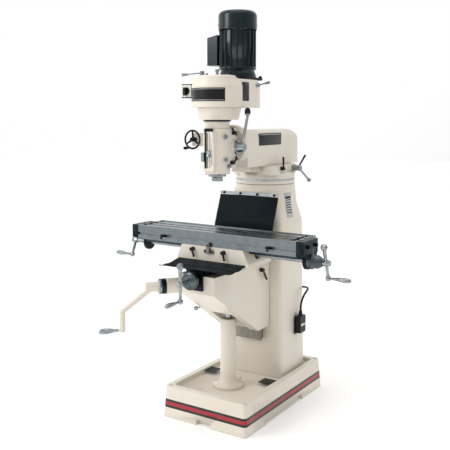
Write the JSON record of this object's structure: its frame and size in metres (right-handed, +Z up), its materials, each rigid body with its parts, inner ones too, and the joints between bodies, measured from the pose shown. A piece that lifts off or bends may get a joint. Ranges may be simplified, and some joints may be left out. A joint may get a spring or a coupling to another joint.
{
  "type": "vertical milling machine",
  "caption": "Knee-type vertical milling machine: tray base, tapered column, crank-fed knee, saddle and slotted table, swivelling ram, and a belt-driven tilting spindle head with its motor.",
  "frame": {"origin": "middle of the base's underside, on the floor", "axes": "+Z up, -Y towards the operator at the front, +X to the right seen from the front"},
  "size_m": [1.3306, 1.0876, 2],
  "materials": {
    "cream_paint": "smooth satin machine enamel",
    "black_enamel": "gloss enamel over a casting",
    "black_plastic": "moulded satin",
    "rubber": "smooth, dull",
    "ground_steel": "ground",
    "polished_steel": "polished",
    "dark_iron": "oiled, machined",
    "aluminium": "satin"
  },
  "bodies": {
    "column": {"base_casting": "cream_paint", "column_casting": "cream_paint", "pedestal_post": "cream_paint", "cover_clamp_bar": "aluminium", "rear_way_cover": "rubber", "inlet_box": "black_plastic", "supply_plug": "black_plastic", "supply_lead": "rubber"},
    "knee": {"knee_casting": "cream_paint", "cross_feed_bracket": "dark_iron", "front_way_cover": "rubber"},
    "lift_screw": {"elevating_screw": "polished_steel"},
    "lift_crank": {"elevating_shaft": "dark_iron", "elevating_crank": "cream_paint"},
    "lift_grip": {"elevating_grip": "polished_steel"},
    "saddle": {"saddle_casting": "cream_paint"},
    "cross_screw": {"cross_screw": "ground_steel", "cross_crank": "polished_steel"},
    "cross_grip": {"cross_grip": "polished_steel"},
    "saddle_lock": {"saddle_lock_lever": "black_plastic"},
    "table_lock": {"table_lock_lever": "black_plastic"},
    "knee_lock": {"knee_lock_lever": "black_plastic"},
    "table": {"table_top": "ground_steel", "table_bracket_left": "dark_iron", "table_bracket_right": "dark_iron"},
    "table_screw": {"table_screw": "ground_steel", "table_dial": "aluminium", "table_left_crank": "polished_steel", "table_right_crank": "polished_steel"},
    "table_right_grip": {"table_right_grip": "polished_steel"},
    "table_left_grip": {"table_left_grip": "polished_steel"},
    "stop_left": {"stop_dog_left": "dark_iron"},
    "stop_right": {"stop_dog_right": "dark_iron"},
    "turret": {"turret_casting": "cream_paint"},
    "ram_lock_front": {"ram_lock_lever_front": "black_plastic"},
    "ram_lock_rear": {"ram_lock_lever_rear": "black_plastic"},
    "ram": {"ram_casting": "cream_paint"},
    "ram_feed": {"ram_feed_handle": "polished_steel"},
    "head": {"tilt_knuckle": "cream_paint", "quill_housing": "cream_paint", "gear_housing": "cream_paint", "belt_housing": "cream_paint", "motor_plate": "dark_iron", "motor_body": "black_enamel", "motor_fan_cover": "black_enamel", "terminal_box": "black_enamel", "switch_box": "black_plastic", "drive_belt": "rubber"},
    "quill": {"quill": "polished_steel"},
    "quill_lever": {"quill_feed_lever": "polished_steel"},
    "spindle": {"spindle": "polished_steel"},
    "spindle_pulley": {"spindle_pulley": "aluminium"},
    "rotor": {"motor_rotor": "ground_steel"},
    "depth_nut": {"depth_stop_nut": "ground_steel"},
    "fine_feed": {"fine_feed_handwheel": "dark_iron"},
    "quill_lock": {"quill_lock_lever": "black_plastic"},
    "feed_selector": {"feed_selector_lever": "black_plastic"},
    "brake": {"brake_lever": "polished_steel"},
    "range": {"range_lever": "polished_steel"},
    "switch_knob": {"switch_knob": "black_plastic"}
  },
  "joints": [
    {"name": "knee_lift", "type": "slide", "parent": "column", "child": "knee", "axis": [0, 0, 1], "range_m": [-0.21, 0.14], "deforming": ["rear_way_cover"]},
    {"name": "lift_screw_turn", "type": "hinge", "parent": "knee", "child": "lift_screw", "pos_m": [0, -0.175, 0.6], "axis": [0, 0, 1], "range_deg": [-30000, 20000]},
    {"name": "lift_crank_turn", "type": "hinge", "parent": "knee", "child": "lift_crank", "pos_m": [0, -0.175, 0.661], "axis": [-0.6428, -0.766, 0], "range_deg": [-30000, 20000]},
    {"name": "lift_grip_spin", "type": "hinge", "parent": "lift_crank", "child": "lift_grip", "pos_m": [-0.38374, -0.63233, 0.462], "axis": [-0.6428, -0.766, 0], "continuous": true},
    {"name": "saddle_slide", "type": "slide", "parent": "knee", "child": "saddle", "axis": [0, 1, 0], "range_m": [-0.145, 0.06], "deforming": ["front_way_cover"]},
    {"name": "cross_screw_turn", "type": "hinge", "parent": "knee", "child": "cross_screw", "pos_m": [0, -0.5, 0.727], "axis": [0, -1, 0], "range_deg": [-10500, 4500]},
    {"name": "cross_grip_spin", "type": "hinge", "parent": "cross_screw", "child": "cross_grip", "pos_m": [0, -0.64, 0.647], "axis": [0, -1, 0], "continuous": true},
    {"name": "saddle_lock_turn", "type": "hinge", "parent": "saddle", "child": "saddle_lock", "pos_m": [-0.107, -0.3243, 0.84], "axis": [0, 1, 0], "range_deg": [-40, 40]},
    {"name": "table_lock_turn", "type": "hinge", "parent": "saddle", "child": "table_lock", "pos_m": [0.072, -0.3243, 0.838], "axis": [0, 1, 0], "range_deg": [-40, 40]},
    {"name": "knee_lock_turn", "type": "hinge", "parent": "knee", "child": "knee_lock", "pos_m": [0.1133, -0.05, 0.712], "axis": [1, 0, 0], "range_deg": [-40, 30]},
    {"name": "table_slide", "type": "slide", "parent": "saddle", "child": "table", "axis": [1, 0, 0], "range_m": [-0.24, 0.24]},
    {"name": "table_screw_turn", "type": "hinge", "parent": "table", "child": "table_screw", "pos_m": [0, -0.223, 0.826], "axis": [1, 0, 0], "range_deg": [-17100, 17100]},
    {"name": "table_right_grip_spin", "type": "hinge", "parent": "table_screw", "child": "table_right_grip", "pos_m": [0.62, -0.1989, 0.7518], "axis": [1, 0, 0], "continuous": true},
    {"name": "table_left_grip_spin", "type": "hinge", "parent": "table_screw", "child": "table_left_grip", "pos_m": [-0.62, -0.2522, 0.7537], "axis": [1, 0, 0], "continuous": true},
    {"name": "stop_left_slide", "type": "slide", "parent": "table", "child": "stop_left", "axis": [1, 0, 0], "range_m": [-0.12, 0.2]},
    {"name": "stop_right_slide", "type": "slide", "parent": "table", "child": "stop_right", "axis": [1, 0, 0], "range_m": [-0.2, 0.11]},
    {"name": "turret_swivel", "type": "hinge", "parent": "column", "child": "turret", "pos_m": [0, 0.19, 1.18], "axis": [0, 0, 1], "range_deg": [-180, 180]},
    {"name": "ram_lock_front_turn", "type": "hinge", "parent": "turret", "child": "ram_lock_front", "pos_m": [0.1283, 0.13, 1.212], "axis": [1, 0, 0], "range_deg": [-50, 50]},
    {"name": "ram_lock_rear_turn", "type": "hinge", "parent": "turret", "child": "ram_lock_rear", "pos_m": [0.1283, 0.292, 1.206], "axis": [1, 0, 0], "range_deg": [-30, 40]},
    {"name": "ram_slide", "type": "slide", "parent": "turret", "child": "ram", "axis": [0, -1, 0], "range_m": [-0.14, 0.165]},
    {"name": "ram_feed_turn", "type": "hinge", "parent": "turret", "child": "ram_feed", "pos_m": [0.15, 0.262, 1.209], "axis": [1, 0, 0], "range_deg": [-345, 405]},
    {"name": "head_tilt", "type": "hinge", "parent": "ram", "child": "head", "pos_m": [0, -0.155, 1.34], "axis": [0, 1, 0], "range_deg": [-45, 45]},
    {"name": "quill_slide", "type": "slide", "parent": "head", "child": "quill", "axis": [0, 0, 1], "range_m": [-0.127, 0]},
    {"name": "quill_lever_turn", "type": "hinge", "parent": "head", "child": "quill_lever", "pos_m": [0.1, -0.221, 1.335], "axis": [1, 0, 0], "range_deg": [-5, 310]},
    {"name": "motor_spin", "type": "hinge", "parent": "head", "child": "rotor", "pos_m": [0, -0.09, 1.8], "axis": [0, 0, 1], "continuous": true},
    {"name": "spindle_pulley_spin", "type": "hinge", "parent": "head", "child": "spindle_pulley", "pos_m": [0, -0.273, 1.59], "axis": [0, 0, 1], "continuous": true},
    {"name": "spindle_spin", "type": "hinge", "parent": "quill", "child": "spindle", "pos_m": [0, -0.273, 1.3], "axis": [0, 0, 1], "continuous": true},
    {"name": "depth_nut_slide", "type": "slide", "parent": "head", "child": "depth_nut", "axis": [0, 0, 1], "range_m": [-0.045, 0.075]},
    {"name": "fine_feed_spin", "type": "hinge", "parent": "head", "child": "fine_feed", "pos_m": [-0.089, -0.352, 1.372], "axis": [0, -1, 0], "continuous": true},
    {"name": "quill_lock_turn", "type": "hinge", "parent": "head", "child": "quill_lock", "pos_m": [0.0663, -0.252, 1.262], "axis": [1, 0, 0], "range_deg": [-60, 12]},
    {"name": "feed_selector_turn", "type": "hinge", "parent": "head", "child": "feed_selector", "pos_m": [0.0663, -0.238, 1.404], "axis": [1, 0, 0], "range_deg": [-12, 40]},
    {"name": "brake_turn", "type": "hinge", "parent": "head", "child": "brake", "pos_m": [-0.056, -0.318, 1.68], "axis": [0, 0, 1], "range_deg": [-30, 30]},
    {"name": "range_turn", "type": "hinge", "parent": "head", "child": "range", "pos_m": [0.12, -0.09, 1.634], "axis": [1, 0, 0], "range_deg": [-25, 25]},
    {"name": "switch_turn", "type": "hinge", "parent": "head", "child": "switch_knob", "pos_m": [-0.1585, -0.31, 1.6045], "axis": [0, -1, 0], "range_deg": [-45, 45]}
  ],
  "couplings": [
    {"joint": "lift_screw_turn", "follows": "knee_lift", "rad_per_m": 2473.7},
    {"joint": "lift_crank_turn", "follows": "knee_lift", "rad_per_m": 2473.7},
    {"joint": "cross_screw_turn", "follows": "saddle_slide", "rad_per_m": 1236.8},
    {"joint": "table_screw_turn", "follows": "table_slide", "rad_per_m": 1236.8},
    {"joint": "ram_feed_turn", "follows": "ram_slide", "rad_per_m": 41.667},
    {"joint": "quill_lever_turn", "follows": "quill_slide", "rad_per_m": -41.667},
    {"joint": "spindle_pulley_spin", "follows": "motor_spin", "ratio": 1},
    {"joint": "spindle_spin", "follows": "motor_spin", "ratio": 1}
  ]
}
